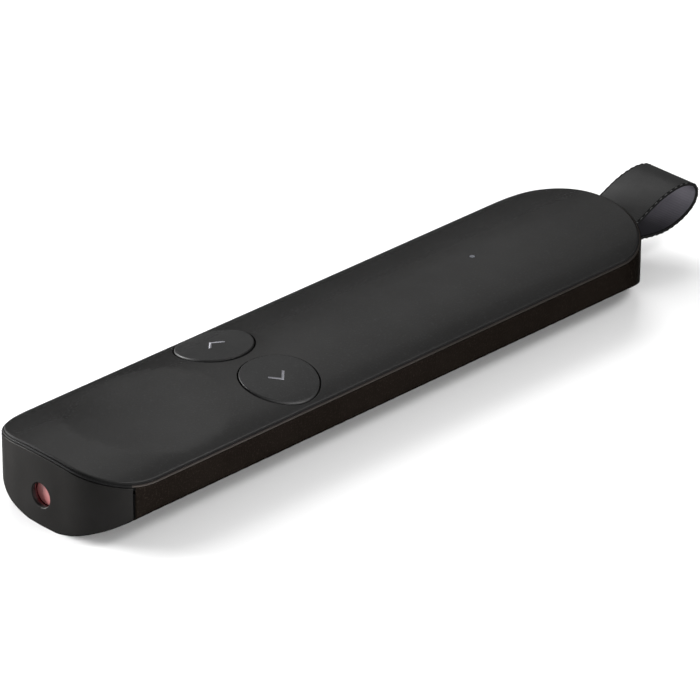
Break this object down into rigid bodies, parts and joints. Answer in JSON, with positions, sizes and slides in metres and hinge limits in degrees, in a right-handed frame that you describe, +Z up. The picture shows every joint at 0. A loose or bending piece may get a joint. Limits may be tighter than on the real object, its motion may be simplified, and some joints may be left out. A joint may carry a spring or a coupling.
{
  "type": "wireless presentation clicker",
  "caption": "Slim hand-held presentation clicker with a dished laser key, round previous and next buttons, and a nano receiver on a webbing loop docked in its tail.",
  "frame": {"origin": "middle of the whole length and width, on the surface that the clicker lies on", "axes": "+Y from the laser nose towards the tail and the webbing loop, +Z up through the crown, +X to the side of the previous button"},
  "size_m": [0.03, 0.141, 0.0132],
  "materials": {
    "soft_skin": "soft-touch matt, fine grain",
    "case_shell": "satin brown-black with a fine grain",
    "nose_shell": "satin near-black",
    "button_face": "soft-touch matt",
    "print_grey": "light grey inlay",
    "inner_plastic": "plain moulded",
    "light_window": "milky translucent",
    "laser_glass": "dark red filter",
    "brass": "turned",
    "steel": "stamped, plated",
    "circuit_board": "solder mask",
    "chip_black": "moulded epoxy",
    "led_body": "diffused",
    "battery_foil": "laminated foil",
    "flex_film": "polyimide film",
    "webbing": "woven nylon"
  },
  "bodies": {
    "housing": {"lower_case": "case_shell", "nose_cap": "nose_shell", "top_cover": "inner_plastic", "soft_skin": "soft_skin", "light_pipe": "light_window", "status_led": "led_body", "laser_window": "laser_glass", "laser_barrel": "brass", "laser_lens": "laser_glass", "laser_diode": "brass", "main_board": "circuit_board", "radio_shield": "steel", "controller_chip": "chip_black", "clock_crystal": "steel", "laser_switch": "steel", "previous_switch": "steel", "next_switch": "steel", "board_screws": "steel", "battery_cell": "battery_foil", "flex_cable": "flex_film", "tail_board": "circuit_board", "charge_port_shell": "steel", "charge_port_tongue": "inner_plastic", "receiver_dock": "inner_plastic", "dock_spring": "steel", "key_hinge_pin": "steel"},
    "laser_key_body": {"key_skin": "soft_skin", "laser_key": "inner_plastic", "key_frame": "inner_plastic", "laser_switch_stem": "inner_plastic"},
    "previous_button_body": {"previous_button": "button_face", "previous_mark": "print_grey", "previous_switch_stem": "inner_plastic"},
    "next_button_body": {"next_button": "button_face", "next_mark": "print_grey", "next_switch_stem": "inner_plastic"},
    "receiver_body": {"receiver_cap": "inner_plastic", "receiver_plug_shell": "steel", "receiver_plug_insert": "inner_plastic", "receiver_contacts": "brass", "strap_pin": "steel"},
    "webbing_body": {"strap_loop": "webbing"}
  },
  "joints": [
    {"name": "laser_key_tip", "type": "hinge", "parent": "housing", "child": "laser_key_body", "pos_m": [0, -0.03635, 0.00935], "axis": [1, 0, 0], "range_deg": [0, 0.5], "stiffness_Nm_per_rad": 2.4},
    {"name": "previous_button_press", "type": "slide", "parent": "housing", "child": "previous_button_body", "axis": [0, 0, -1], "range_m": [0, 0.0003], "stiffness_N_per_m": 5000},
    {"name": "next_button_press", "type": "slide", "parent": "housing", "child": "next_button_body", "axis": [0, 0, -1], "range_m": [0, 0.0003], "stiffness_N_per_m": 5000},
    {"name": "receiver_pull", "type": "slide", "parent": "housing", "child": "receiver_body", "axis": [0, 1, 0], "range_m": [0, 0.022]},
    {"name": "webbing_swing", "type": "hinge", "parent": "receiver_body", "child": "webbing_body", "pos_m": [0, 0.0505, 0.0072], "axis": [1, 0, 0], "range_deg": [-5, 5], "stiffness_Nm_per_rad": 0.02}
  ]
}
